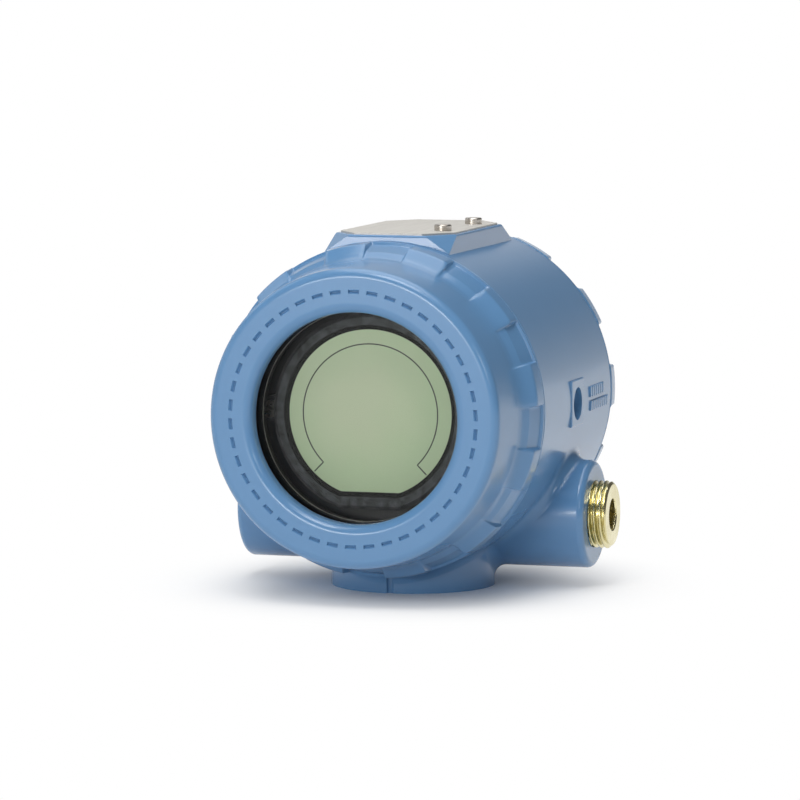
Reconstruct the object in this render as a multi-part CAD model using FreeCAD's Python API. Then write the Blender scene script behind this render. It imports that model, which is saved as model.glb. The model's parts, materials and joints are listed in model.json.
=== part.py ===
import FreeCAD, Part
import math
import os

os.makedirs("parts", exist_ok=True)

# Field-mount temperature transmitter, millimetres, +Z up, display towards -Y.
# The origin is the centre of the round foot's underside.
V = FreeCAD.Vector

# Housing barrel: a cylinder about an axis along Y, open at both ends
axis_z = 58.4
barrel_r = 52.0
barrel_front_y = -34.2
barrel_rear_y = 48.9
barrel_edge = 0.35
compartment_r = 43.0
cover_thread_r = 46.0
cover_thread_depth = 14.7
seal_seat_r = 49.3
seal_seat_depth = 2.9
partition_front_y = -8.0
partition_rear_y = -2.0
partition_skin = 0.8
barrel_mid_y = (barrel_front_y + barrel_rear_y) / 2

# Foot under the barrel, with two tapped holes
foot_r = 25.9
foot_top_z = 30.0
foot_hole_r = 3.97
foot_hole_depth = 11.0
foot_hole_x = 14.3
foot_groove_r = 1.1

# Conduit entries, left and right
conduit_r = 17.0
conduit_face_x = 56.8
conduit_y = 9.9
conduit_z = 22.8
conduit_rim_fillet = 2.0
conduit_root_fillet = 3.5
pipe_bore_r = 10.6
pipe_bore_depth = 20.0
wire_bore_r = 9.5
wire_bore_end_x = 20.0

# Top pad and the plate riveted to it
pad_top_z = axis_z + 53.7
pad_foot_z = axis_z + 46.0
pad_half_x = 19.6
pad_foot_half_x = 20.3
pad_half_y = 36.5
pad_foot_half_y = 37.0
pad_corner_x = 12.0
pad_corner_y = 10.5
pad_corner_z = axis_z + 48.2
pad_cutter_reach = 2.6
pad_edge = 0.8
plate_thickness = 0.5
plate_margin = 1.1
plate_screw_x = 12.6
plate_screw_pitch = 35.4
drive_head_r = 2.7
drive_head_height = 2.0
drive_pin_r = 1.2
drive_hole_r = 1.4
drive_pin_depth = 3.0
drive_head_fillet = 0.5

# Raised flat pad on the right flank with a tapped earth hole
flank_pad_x = 52.3
flank_pad_root_x = 47.0
flank_pad_half = 7.3
flank_pad_edge = 0.4
earth_hole_y = 5.2
earth_hole_z = axis_z - 0.4
earth_hole_r = 5.15
earth_hole_depth = 6.5

# Screwed covers: grip pockets round the rim, male thread behind it
cover_gap = 0.4
spigot_r = 45.7
spigot_length = 13.0
spigot_bore_r = 41.5
spigot_chamfer = 1.0
rim_r = 52.2
rim_front_r = 51.7
rim_edge_r = 52.0
rim_edge = 0.8
rim_land = 6.8
rim_ramp = 11.2
collar_fillet = 8.5
skirt_r = 47.45
pocket_count = 12
pocket_angle = 15.0
pocket_ring_r = 51.9
pocket_land_r = 51.1
pocket_corner_r = 49.5
pocket_corner = 9.15
front_pocket_phase = 48.4
rear_pocket_phase = 8.7
front_cover_depth = 31.6
front_face_r = 45.35
face_fillet = 1.6
window_bore_r = 32.4
window_chamfer = 2.1
window_lip = 5.6
window_seat_r = 38.2
window_seat_depth = 19.7
rear_cover_depth = 16.9
rear_face_r = 46.9
rear_dish_r = 33.5
rear_dish_depth = 1.4
rear_wall = 6.0
rear_bore_r = 40.0

# Window stack inside the front cover
gasket_lip = 1.0
gasket_r = 38.0
gasket_bore_r = 32.6
gasket_wall = 2.0
glass_r = 35.8
glass_thickness = 6.2
retainer_bore_r = 32.6
retainer_depth = 3.6
retainer_slot = 3.0
retainer_slot_depth = 1.6
retainer_slots = 4

# Cover seals
seal_ring_r = 47.45
seal_cord_r = 1.25
seal_clearance = 0.32

# Electronics module in the front compartment
module_r = 40.0
module_front_y = -33.0
module_edge = 1.5
module_screw_x = 34.0
module_screw_r = 2.0
module_screw_head_r = 2.7
module_screw_head = 2.4
module_screw_bite = 5.0
screw_clearance = 0.2
socket_half_x = 9.0
socket_half_z = 3.0
socket_depth = 3.0
socket_z = axis_z - 20.0

# Two slide switches on the module's front
switch_x = 15.0
switch_z = axis_z + 16.0
switch_slot_half_x = 4.2
switch_slot_half_z = 1.9
switch_slot_depth = 3.0
switch_half_x = 2.2
switch_half_z = 1.5
switch_knob_half_x = 0.9
switch_proud = 1.6
switch_rest = 0.4
switch_sink = 0.6

# Display: bezel, panel, board, back plate and pins
display_face_y = -47.1
bezel_front_y = -48.3
bezel_rear_y = -37.6
bezel_r = 31.0
bezel_edge = 1.2
bezel_flat_z = axis_z - 29.6
view_r = 25.95
view_flat_z = axis_z - 24.2
view_bevel = 1.45
panel_r = 28.2
panel_flat_z = axis_z - 26.2
panel_thickness = 2.4
cavity_r = 28.6
cavity_flat_z = axis_z - 26.6
board_thickness = 1.6
back_r = 29.4
back_flat_z = axis_z - 27.4
back_thickness = 2.0
back_clearance = 0.2
ear_front_y = -40.0
ear_web_half_z = 3.0
ear_r = 4.0
pin_columns = 5
pin_rows = 2
pin_pitch = 2.54
pin_half = 0.32
header_half_x = 7.0
header_half_z = 2.6

# Terminal block in the rear compartment
block_r = 37.0
block_flat_z = axis_z - 16.0
block_height = 13.0
barrier_height = 4.0
barrier_thickness = 1.6
sensor_terminals = 5
sensor_pitch = 11.4
sensor_row_z = axis_z + 14.0
power_terminals = 3
power_pitch = 11.4
power_row_z = axis_z - 6.0
terminal_row_half_z = 5.6
terminal_screw_r = 1.7
terminal_head_r = 3.1
terminal_head = 2.2
terminal_shank = 7.0
slot_width = 0.9
slot_depth = 1.1
clamp_half = 4.2
clamp_thickness = 1.2
block_screw_x = 30.5
block_screw_z = axis_z + 4.0
block_screw_r = 2.0
block_screw_head_r = 3.5
block_screw_head = 2.4
block_screw_bite = 4.5
block_screw_end_gap = 0.4

# Feedthrough in the partition, with its link pins
feed_x = 8.0
feed_z = axis_z + 24.0
feed_r = 6.0
feed_clearance = 0.15
link_pin_r = 0.6
link_pin_count = 6
link_ring_r = 3.4

# Inside earth screw, on a lug in the rear compartment
lug_half_x = 6.0
lug_height = 9.0
lug_root = 1.0
lug_z = axis_z - 30.0
lug_top_y = 8.0
earth_screw_r = 2.0
earth_head_r = 4.2
earth_head = 3.0
earth_shank = 8.0

# Blanking plug in the right entry
plug_r = 10.25
plug_taper = 1.0 / 32.0
plug_out = 5.8
plug_in = 13.0
plug_chamfer = 1.1
plug_hex_flats = 9.5
plug_hex_depth = 8.0

# Shared working values
whole_turn = 360.0
near = 0.01
overcut = 1.0
drill_spare = 0.5
hex_sides = 6
along_x = V(1, 0, 0)
along_y = V(0, 1, 0)
along_z = V(0, 0, 1)
axis_point = V(0, 0, axis_z)


def turned(profile, sweep=whole_turn):
    """A solid of revolution about the barrel's axis from (radius, y) points."""
    points = [V(r, y, axis_z) for r, y in profile]
    face = Part.Face(Part.makePolygon(points + points[:1]))
    return face.revolve(axis_point, along_y, sweep)


def block(x, y, z):
    """A box from three (low, high) pairs."""
    size = [high - low for low, high in (x, y, z)]
    return Part.makeBox(*size, V(x[0], y[0], z[0]))


def rod_y(radius, y0, y1, x=0.0, z=axis_z):
    """A cylinder along Y."""
    return Part.makeCylinder(radius, y1 - y0, V(x, y0, z), along_y)


def prism(points, direction):
    """A straight prism from a closed outline."""
    return Part.Face(Part.makePolygon(points + points[:1])).extrude(direction)


def round_edges(shape, radius, y, size):
    """Fillets the circular edges of one radius at one place along the axis."""
    chosen = []
    for edge in shape.Edges:
        if edge.Curve.TypeId != "Part::GeomCircle":
            continue
        centre = edge.Curve.Center
        same_place = abs(centre.y - y) < near
        if same_place and abs(edge.Curve.Radius - radius) < near:
            chosen.append(edge)
    return shape.makeFillet(size, chosen)


def one_solid(shape):
    """Joins split faces and returns the single solid inside."""
    clean = shape.removeSplitter()
    if len(clean.Solids) != 1:
        raise ValueError("expected one solid, found %d" % len(clean.Solids))
    return clean.Solids[0]


def group(solids):
    """Separate like pieces kept together in one node."""
    return Part.makeCompound(solids)


def export(shape, node):
    shape.exportStep("parts/%s.step" % node)


def slotted_screw(x, z, seat_y, out, head_r, head, shank_r, shank):
    """A screw along Y: the head stands on seat_y towards out (+1 or -1)."""
    top_y = seat_y + out * head
    head_solid = rod_y(head_r, min(seat_y, top_y), max(seat_y, top_y), x, z)
    end_y = seat_y - out * shank
    shank_solid = rod_y(shank_r, min(seat_y, end_y), max(seat_y, end_y), x, z)
    floor_y = top_y - out * slot_depth
    slot = block(
        (x - head_r, x + head_r),
        (min(floor_y, top_y), max(floor_y, top_y)),
        (z - slot_width / 2, z + slot_width / 2),
    )
    return one_solid(head_solid.fuse(shank_solid).cut(slot))


def row(count, pitch):
    """Centred positions along X."""
    return [(i - (count - 1) / 2) * pitch for i in range(count)]


def terminal_places():
    """Every terminal's x and z: the sensor row above, the supply row below."""
    upper = [(x, sensor_row_z) for x in row(sensor_terminals, sensor_pitch)]
    lower = [(x, power_row_z) for x in row(power_terminals, power_pitch)]
    return upper + lower


# Housing

def pad():
    """Drafted pad whose top corners are cut off by slanting facets."""
    def outline(half_x, half_y, z):
        corners = [(-1, -1), (1, -1), (1, 1), (-1, 1), (-1, -1)]
        return Part.makePolygon([V(i * half_x, barrel_mid_y + j * half_y, z) for i, j in corners])

    foot = outline(pad_foot_half_x, pad_foot_half_y, pad_foot_z)
    top = outline(pad_half_x, pad_half_y, pad_top_z)
    solid = Part.makeLoft([foot, top], True, True)
    for i in (-1, 1):
        for j in (-1, 1):
            end_y = barrel_mid_y + j * pad_half_y
            first = V(i * pad_corner_x, end_y, pad_top_z)
            second = V(i * pad_half_x, end_y - j * pad_corner_y, pad_top_z)
            low = V(i * pad_foot_half_x, end_y, pad_corner_z)
            facet = (first, second, low)
            middle = (first + second + low) * (1 / len(facet))
            wide = [middle + (p - middle) * pad_cutter_reach for p in facet]
            outward = (second - first).cross(low - first).normalize()
            if outward.x * i < 0:
                outward = outward * -1
            solid = solid.cut(prism(wide, outward * pad_half_x))
    top_edges = [e for e in solid.Edges if all(abs(v.Point.z - pad_top_z) < near for v in e.Vertexes)]
    return solid.makeFillet(pad_edge, top_edges)


def flank_pad():
    """Raised pad round the earth hole, its outer edges softened as cast."""
    solid = block(
        (flank_pad_root_x, flank_pad_x),
        (earth_hole_y - flank_pad_half, earth_hole_y + flank_pad_half),
        (axis_z - flank_pad_half, axis_z + flank_pad_half),
    )
    outer = [e for e in solid.Edges if all(abs(v.Point.x - flank_pad_x) < near for v in e.Vertexes)]
    return solid.makeFillet(flank_pad_edge, outer)


def earth_lug():
    """Inside lug for the earth screw, grown from the partition."""
    return block(
        (-lug_half_x, lug_half_x),
        (partition_rear_y - lug_root, lug_top_y),
        (lug_z - lug_height, lug_z + lug_height / 2),
    )


def conduit_bore(side):
    """Pipe-threaded entry, then a plain bore into the rear compartment."""
    mouth = V(side * conduit_face_x, conduit_y, conduit_z)
    inward = along_x * -side
    thread = Part.makeCylinder(pipe_bore_r, pipe_bore_depth, mouth, inward)
    return thread.fuse(Part.makeCylinder(wire_bore_r, conduit_face_x - wire_bore_end_x, mouth, inward))


def housing():
    outer = rod_y(barrel_r, barrel_front_y, barrel_rear_y)
    outer = outer.makeChamfer(barrel_edge, [e for e in outer.Edges if e.Curve.TypeId == "Part::GeomCircle"])
    length = 2 * conduit_face_x
    conduits = Part.makeCylinder(conduit_r, length, V(-conduit_face_x, conduit_y, conduit_z), along_x)
    conduits = conduits.makeFillet(
        conduit_rim_fillet, [e for e in conduits.Edges if e.Curve.TypeId == "Part::GeomCircle"]
    )
    foot = Part.makeCylinder(foot_r, foot_top_z, V(0, 0, 0), along_z)
    body = outer.fuse([conduits, foot]).removeSplitter()
    body = body.makeFillet(conduit_root_fillet, root_edges(body))
    body = body.fuse([pad(), flank_pad()])
    body = body.cut(rod_y(compartment_r, partition_rear_y, barrel_rear_y))
    body = body.cut(rod_y(compartment_r, barrel_front_y, partition_front_y))
    body = body.fuse(earth_lug().common(outer))
    for mouth_y, inward in ((barrel_front_y, 1), (barrel_rear_y, -1)):
        thread_y = mouth_y + inward * cover_thread_depth
        seat_y = mouth_y + inward * seal_seat_depth
        body = body.cut(rod_y(cover_thread_r, min(mouth_y, thread_y), max(mouth_y, thread_y)))
        body = body.cut(rod_y(seal_seat_r, min(mouth_y, seat_y), max(mouth_y, seat_y)))
    for side in (-1, 1):
        body = body.cut(conduit_bore(side))
        hole = Part.makeCylinder(foot_hole_r, foot_hole_depth, V(side * foot_hole_x, 0, 0), along_z)
        body = body.cut(hole)
        groove = Part.makeCylinder(foot_groove_r, foot_top_z, V(0, side * foot_r, 0), along_z)
        body = body.cut(groove)
    hole_start = V(flank_pad_x, earth_hole_y, earth_hole_z)
    body = body.cut(Part.makeCylinder(earth_hole_r, earth_hole_depth, hole_start, along_x * -1))
    for y in row(2, plate_screw_pitch):
        pin_top = V(plate_screw_x, barrel_mid_y + y, pad_top_z)
        body = body.cut(Part.makeCylinder(drive_hole_r, drive_pin_depth + drill_spare, pin_top, along_z * -1))
    for x in (-module_screw_x, module_screw_x):
        drilled_y = partition_rear_y - partition_skin
        body = body.cut(rod_y(module_screw_r + screw_clearance, partition_front_y, drilled_y, x))
    for x in (-block_screw_x, block_screw_x):
        body = body.cut(rod_y(
            block_screw_r + screw_clearance, partition_rear_y - block_screw_bite, partition_rear_y,
            x, block_screw_z,
        ))
    body = body.cut(rod_y(feed_r + feed_clearance, partition_front_y, partition_rear_y, feed_x, feed_z))
    body = body.cut(rod_y(
        earth_screw_r + screw_clearance, lug_top_y - earth_shank - drill_spare, lug_top_y, 0.0, lug_z,
    ))
    return one_solid(body)


def root_edges(body):
    """The seams where the conduit bosses and the foot meet the barrel."""
    found = []
    for edge in body.Edges:
        kinds = ("Part::GeomCircle", "Part::GeomLine")
        if edge.Curve.TypeId not in kinds:
            found.append(edge)
    return found


# Covers

def rim_profile(flange_y, out):
    """Outside of a cover rim from the flange face outwards; out is the way it points along Y."""
    return [
        (rim_edge_r, flange_y),
        (rim_r, flange_y + out * rim_edge),
        (rim_front_r, flange_y + out * rim_land),
        (skirt_r, flange_y + out * rim_ramp),
    ]


def cut_pockets(cover, flange_y, out, phase):
    """Takes the grip pockets out of the rim, leaving a lug between each two and a low ring at the flange."""
    beyond_r = rim_r + overcut
    profile = [
        (pocket_ring_r, flange_y - out * cover_gap),
        (pocket_ring_r, flange_y + out * rim_edge),
        (pocket_land_r, flange_y + out * rim_edge),
        (pocket_corner_r, flange_y + out * pocket_corner),
        (beyond_r, flange_y + out * pocket_corner),
        (beyond_r, flange_y - out * cover_gap),
    ]
    wedge = turned(profile, pocket_angle)
    pitch = whole_turn / pocket_count
    wedges = []
    for i in range(pocket_count):
        cutter = wedge.copy()
        cutter.rotate(axis_point, along_y, -(phase + pocket_angle) - i * pitch)
        wedges.append(cutter)
    return cover.cut(group(wedges))


def spigot_profile(flange_y, out, bore_r):
    """The male-threaded spigot on the inner side of a cover, ending at its bore."""
    end_y = flange_y - out * spigot_length
    return [
        (bore_r, end_y),
        (spigot_r - spigot_chamfer, end_y),
        (spigot_r, end_y + out * spigot_chamfer),
        (spigot_r, flange_y),
    ]


front_flange_y = barrel_front_y - cover_gap
rear_flange_y = barrel_rear_y + cover_gap
front_face_y = front_flange_y - front_cover_depth
rear_face_y = rear_flange_y + rear_cover_depth
lip_rear_y = front_face_y + window_lip
seat_rear_y = front_face_y + window_seat_depth


def front_cover():
    profile = spigot_profile(front_flange_y, -1, spigot_bore_r)
    profile += rim_profile(front_flange_y, -1)
    profile += [
        (front_face_r, front_face_y),
        (window_bore_r + window_chamfer, front_face_y),
        (window_bore_r, front_face_y + window_chamfer),
        (window_bore_r, lip_rear_y),
        (window_seat_r, lip_rear_y),
        (window_seat_r, seat_rear_y),
        (spigot_bore_r, seat_rear_y),
    ]
    cover = round_edges(turned(profile), front_face_r, front_face_y, face_fillet)
    cover = round_edges(cover, skirt_r, front_flange_y - rim_ramp, collar_fillet)
    return one_solid(cut_pockets(cover, front_flange_y, -1, front_pocket_phase))


def rear_cover():
    inside_y = rear_face_y - rear_wall
    profile = spigot_profile(rear_flange_y, 1, spigot_bore_r)
    profile += rim_profile(rear_flange_y, 1)
    profile += [
        (rear_face_r, rear_face_y),
        (rear_dish_r, rear_face_y),
        (rear_dish_r - rear_dish_depth, rear_face_y - rear_dish_depth),
        (0.0, rear_face_y - rear_dish_depth),
        (0.0, inside_y),
        (rear_bore_r, inside_y),
        (spigot_bore_r, rear_flange_y),
    ]
    cover = round_edges(turned(profile), rear_face_r, rear_face_y, face_fillet)
    cover = round_edges(cover, skirt_r, rear_flange_y + rim_ramp, collar_fillet)
    return one_solid(cut_pockets(cover, rear_flange_y, 1, rear_pocket_phase))


def cover_seal(flange_y, inward):
    centre = V(0, flange_y + inward * (seal_cord_r + seal_clearance), axis_z)
    return Part.makeTorus(seal_ring_r, seal_cord_r, centre, along_y)


# Window stack

glass_front_y = lip_rear_y + gasket_lip
glass_rear_y = glass_front_y + glass_thickness


def window_gasket():
    """Rubber ring of L section: a lip before the glass and a wall round its edge."""
    return turned([
        (gasket_bore_r, lip_rear_y),
        (gasket_r, lip_rear_y),
        (gasket_r, glass_rear_y),
        (gasket_r - gasket_wall, glass_rear_y),
        (gasket_r - gasket_wall, glass_front_y),
        (gasket_bore_r, glass_front_y),
    ])


def window_glass():
    return rod_y(glass_r, glass_front_y, glass_rear_y)


def window_retainer():
    """Screwed ring behind the glass, with slots for a pin wrench."""
    rear_y = glass_rear_y + retainer_depth
    ring = turned([
        (retainer_bore_r, glass_rear_y),
        (gasket_r, glass_rear_y),
        (gasket_r, rear_y),
        (retainer_bore_r, rear_y),
    ])
    slots = []
    for i in range(retainer_slots):
        slot = block(
            (retainer_bore_r - overcut, gasket_r + overcut),
            (rear_y - retainer_slot_depth, rear_y),
            (axis_z - retainer_slot / 2, axis_z + retainer_slot / 2),
        )
        slot.rotate(axis_point, along_y, i * whole_turn / retainer_slots)
        slots.append(slot)
    return one_solid(ring.cut(group(slots)))


# Nameplate

def nameplate():
    """Stainless plate with its corners cut to the pad's outline."""
    half_x = pad_half_x - plate_margin
    half_y = pad_half_y - plate_margin
    corner_x = pad_corner_x - plate_margin
    straight_y = half_y - pad_corner_y
    quarter = [(corner_x, half_y), (half_x, straight_y)]
    outline = quarter + [(x, -y) for x, y in reversed(quarter)]
    outline += [(-x, -y) for x, y in quarter] + [(-x, y) for x, y in reversed(quarter)]
    points = [V(x, barrel_mid_y + y, pad_top_z) for x, y in outline]
    plate = prism(points, along_z * plate_thickness)
    for y in row(2, plate_screw_pitch):
        start = V(plate_screw_x, barrel_mid_y + y, pad_top_z)
        plate = plate.cut(Part.makeCylinder(drive_hole_r, plate_thickness, start, along_z))
    return one_solid(plate)


def nameplate_screws():
    screws = []
    for y in row(2, plate_screw_pitch):
        seat = V(plate_screw_x, barrel_mid_y + y, pad_top_z + plate_thickness)
        head = Part.makeCylinder(drive_head_r, drive_head_height, seat, along_z)
        rim = [e for e in head.Edges if e.Curve.TypeId == "Part::GeomCircle" and e.Curve.Center.z > seat.z]
        head = head.makeFillet(drive_head_fillet, rim)
        pin = Part.makeCylinder(drive_pin_r, drive_pin_depth, seat, along_z * -1)
        screws.append(one_solid(head.fuse(pin)))
    return group(screws)


# Conduit plug

def conduit_plug():
    """Taper-threaded blanking plug with a hexagon socket in its outer end."""
    inner_x = conduit_face_x - plug_in
    outer_x = conduit_face_x + plug_out
    inner_r = plug_r - plug_in * plug_taper
    outer_r = plug_r + plug_out * plug_taper
    place = V(inner_x, conduit_y, conduit_z)
    body = Part.makeCone(inner_r, outer_r, outer_x - inner_x, place, along_x)
    rim = [e for e in body.Edges if e.Curve.TypeId == "Part::GeomCircle"]
    body = body.makeChamfer(plug_chamfer, rim)
    corner_r = plug_hex_flats / math.sqrt(3)
    angles = [math.radians(i * whole_turn / hex_sides) for i in range(hex_sides)]
    points = [
        V(outer_x, conduit_y + corner_r * math.sin(a), conduit_z + corner_r * math.cos(a)) for a in angles
    ]
    return one_solid(body.cut(prism(points, along_x * -plug_hex_depth)))


# Electronics module

def electronics_module():
    """Potted round module with a display socket and two switch slots."""
    body = rod_y(module_r, module_front_y, partition_front_y)
    body = round_edges(body, module_r, module_front_y, module_edge)
    for x in (-module_screw_x, module_screw_x):
        body = body.cut(rod_y(module_screw_r + screw_clearance, module_front_y, partition_front_y, x))
    socket = block(
        (-socket_half_x, socket_half_x),
        (module_front_y, module_front_y + socket_depth),
        (socket_z - socket_half_z, socket_z + socket_half_z),
    )
    body = body.cut(socket)
    for x in (-switch_x, switch_x):
        slot = block(
            (x - switch_slot_half_x, x + switch_slot_half_x),
            (module_front_y, module_front_y + switch_slot_depth),
            (switch_z - switch_slot_half_z, switch_z + switch_slot_half_z),
        )
        body = body.cut(slot)
    return one_solid(body)


def captive_screws():
    """Long screws through the display's ears and the module into the partition."""
    shank = partition_front_y - ear_front_y + module_screw_bite
    return group([
        slotted_screw(
            x, axis_z, ear_front_y, -1, module_screw_head_r, module_screw_head, module_screw_r, shank,
        )
        for x in (-module_screw_x, module_screw_x)
    ])


def slide_switch(x):
    """A slider in its slot, resting at the slot's left end, with a finger knob."""
    centre = x - switch_slot_half_x + switch_rest + switch_half_x
    floor_y = module_front_y + switch_slot_depth
    base = block(
        (centre - switch_half_x, centre + switch_half_x),
        (module_front_y + switch_sink, floor_y),
        (switch_z - switch_half_z, switch_z + switch_half_z),
    )
    knob = block(
        (centre - switch_knob_half_x, centre + switch_knob_half_x),
        (module_front_y - switch_proud, module_front_y + switch_sink),
        (switch_z - switch_half_z, switch_z + switch_half_z),
    )
    return one_solid(base.fuse(knob))


# Display

def round_with_flat(radius, flat_z, y0, y1):
    """A disc along Y with a flat cut across its lower edge."""
    below = block((-radius, radius), (y0, y1), (axis_z - radius - overcut, flat_z))
    return rod_y(radius, y0, y1).cut(below)


def view_opening():
    """The bezel's D-shaped window, wider at the front face by the bevel."""
    cone = turned([
        (0.0, bezel_front_y),
        (view_r + view_bevel, bezel_front_y),
        (view_r, display_face_y),
        (0.0, display_face_y),
    ])
    below_z = axis_z - view_r - view_bevel - overcut
    below = prism([
        V(-bezel_r, bezel_front_y, view_flat_z - view_bevel),
        V(-bezel_r, display_face_y, view_flat_z),
        V(-bezel_r, display_face_y, below_z),
        V(-bezel_r, bezel_front_y, below_z),
    ], along_x * 2 * bezel_r)
    return cone.cut(below)


def lcd_bezel():
    """Dark frame with a D-shaped window, a stepped cavity behind it and two screw ears."""
    body = round_with_flat(bezel_r, bezel_flat_z, bezel_front_y, bezel_rear_y)
    front = [e for e in body.Edges if all(abs(v.Point.y - bezel_front_y) < near for v in e.Vertexes)]
    body = body.makeChamfer(bezel_edge, front)
    for side in (-1, 1):
        near_x, far_x = sorted((side * cavity_r, side * module_screw_x))
        web = block(
            (near_x, far_x), (ear_front_y, bezel_rear_y), (axis_z - ear_web_half_z, axis_z + ear_web_half_z)
        )
        body = body.fuse([web, rod_y(ear_r, ear_front_y, module_front_y, side * module_screw_x)])
    body = body.cut(view_opening())
    body = body.cut(round_with_flat(cavity_r, cavity_flat_z, display_face_y, bezel_rear_y))
    back_seat_r = back_r + back_clearance
    back_seat_flat = back_flat_z - back_clearance
    body = body.cut(round_with_flat(back_seat_r, back_seat_flat, back_front_y, bezel_rear_y))
    for x in (-module_screw_x, module_screw_x):
        body = body.cut(rod_y(module_screw_r + screw_clearance, ear_front_y, module_front_y, x))
    return one_solid(body)


panel_rear_y = display_face_y + panel_thickness
board_rear_y = panel_rear_y + board_thickness
back_front_y = bezel_rear_y - back_thickness


def lcd_panel():
    return round_with_flat(panel_r, panel_flat_z, display_face_y, panel_rear_y)


def lcd_board():
    return round_with_flat(panel_r, panel_flat_z, panel_rear_y, board_rear_y)


def lcd_back():
    """Plate that closes the display, open where the header pins pass."""
    plate = round_with_flat(back_r, back_flat_z, back_front_y, bezel_rear_y)
    opening = block(
        (-header_half_x, header_half_x),
        (back_front_y, bezel_rear_y),
        (socket_z - header_half_z, socket_z + header_half_z),
    )
    return one_solid(plate.cut(opening))


def lcd_pins():
    """Header pins from the display board to the floor of the module's socket."""
    floor_y = module_front_y + socket_depth
    pins = []
    for x in row(pin_columns, pin_pitch):
        for z in row(pin_rows, pin_pitch):
            pins.append(block(
                (x - pin_half, x + pin_half),
                (board_rear_y, floor_y),
                (socket_z + z - pin_half, socket_z + z + pin_half),
            ))
    return group(pins)


# Terminals

block_face_y = partition_rear_y + block_height
clamp_face_y = block_face_y + clamp_thickness
lug_clamp_y = lug_top_y + clamp_thickness


def barriers(count, pitch, row_z):
    """Walls between the terminals of one row."""
    walls = []
    for x in row(count + 1, pitch):
        walls.append(block(
            (x - barrier_thickness / 2, x + barrier_thickness / 2),
            (block_face_y, block_face_y + barrier_height),
            (row_z - terminal_row_half_z, row_z + terminal_row_half_z),
        ))
    return walls


def terminal_block():
    """Moulded block with a chord cut off above the cable entries."""
    body = round_with_flat(block_r, block_flat_z, partition_rear_y, block_face_y)
    body = body.fuse(
        barriers(sensor_terminals, sensor_pitch, sensor_row_z)
        + barriers(power_terminals, power_pitch, power_row_z)
    )
    for x, z in terminal_places():
        depth = terminal_shank + drill_spare
        body = body.cut(rod_y(terminal_screw_r + screw_clearance, block_face_y - depth, block_face_y, x, z))
    hole_r = block_screw_r + screw_clearance
    for x in (-block_screw_x, block_screw_x):
        body = body.cut(rod_y(hole_r, partition_rear_y, block_face_y, x, block_screw_z))
    return one_solid(body)


def square_clamp(x, z, y):
    """A square clamp plate with its screw hole."""
    top_y = y + clamp_thickness
    plate = block((x - clamp_half, x + clamp_half), (y, top_y), (z - clamp_half, z + clamp_half))
    return one_solid(plate.cut(rod_y(terminal_screw_r + screw_clearance, y, top_y, x, z)))


def terminal_clamps():
    return group([square_clamp(x, z, block_face_y) for x, z in terminal_places()])


def terminal_screws():
    shank = terminal_shank + clamp_thickness
    return group([
        slotted_screw(x, z, clamp_face_y, 1, terminal_head_r, terminal_head, terminal_screw_r, shank)
        for x, z in terminal_places()
    ])


def terminal_block_screws():
    shank = block_height + block_screw_bite - block_screw_end_gap
    return group([
        slotted_screw(
            x, block_screw_z, block_face_y, 1, block_screw_head_r, block_screw_head, block_screw_r, shank,
        )
        for x in (-block_screw_x, block_screw_x)
    ])


def link_places():
    """Ring of link pins inside the feedthrough."""
    places = []
    for i in range(link_pin_count):
        a = 2 * math.pi * i / link_pin_count
        places.append((feed_x + link_ring_r * math.cos(a), feed_z + link_ring_r * math.sin(a)))
    return places


def feedthrough():
    body = rod_y(feed_r, partition_front_y, partition_rear_y, feed_x, feed_z)
    for x, z in link_places():
        body = body.cut(rod_y(link_pin_r + feed_clearance, partition_front_y, partition_rear_y, x, z))
    return one_solid(body)


def link_pins():
    return group([rod_y(link_pin_r, partition_front_y, partition_rear_y, x, z) for x, z in link_places()])


def earth_clamp():
    """Square clamp under the inside earth screw."""
    plate = block(
        (-clamp_half, clamp_half), (lug_top_y, lug_clamp_y), (lug_z - clamp_half, lug_z + clamp_half)
    )
    return one_solid(plate.cut(rod_y(earth_screw_r + screw_clearance, lug_top_y, lug_clamp_y, 0.0, lug_z)))


def earth_screw():
    return slotted_screw(
        0.0, lug_z, lug_clamp_y, 1, earth_head_r, earth_head, earth_screw_r, earth_shank,
    )


makers = {
    "housing": housing,
    "front_cover": front_cover,
    "rear_cover": rear_cover,
    "front_cover_seal": lambda: cover_seal(front_flange_y, 1),
    "rear_cover_seal": lambda: cover_seal(rear_flange_y, -1),
    "window_gasket": window_gasket,
    "window_glass": window_glass,
    "window_retainer": window_retainer,
    "nameplate": nameplate,
    "nameplate_screws": nameplate_screws,
    "conduit_plug": conduit_plug,
    "electronics_module": electronics_module,
    "captive_screws": captive_screws,
    "alarm_switch": lambda: slide_switch(-switch_x),
    "security_switch": lambda: slide_switch(switch_x),
    "lcd_bezel": lcd_bezel,
    "lcd_panel": lcd_panel,
    "lcd_board": lcd_board,
    "lcd_back": lcd_back,
    "lcd_pins": lcd_pins,
    "terminal_block": terminal_block,
    "terminal_clamps": terminal_clamps,
    "terminal_screws": terminal_screws,
    "terminal_block_screws": terminal_block_screws,
    "feedthrough": feedthrough,
    "link_pins": link_pins,
    "earth_clamp": earth_clamp,
    "earth_screw": earth_screw,
}
for node, make in makers.items():
    export(make(), node)
    print("made", node)
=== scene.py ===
import json
import math
import bmesh
import bpy
import numpy as np
from mathutils import Matrix, Vector


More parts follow.
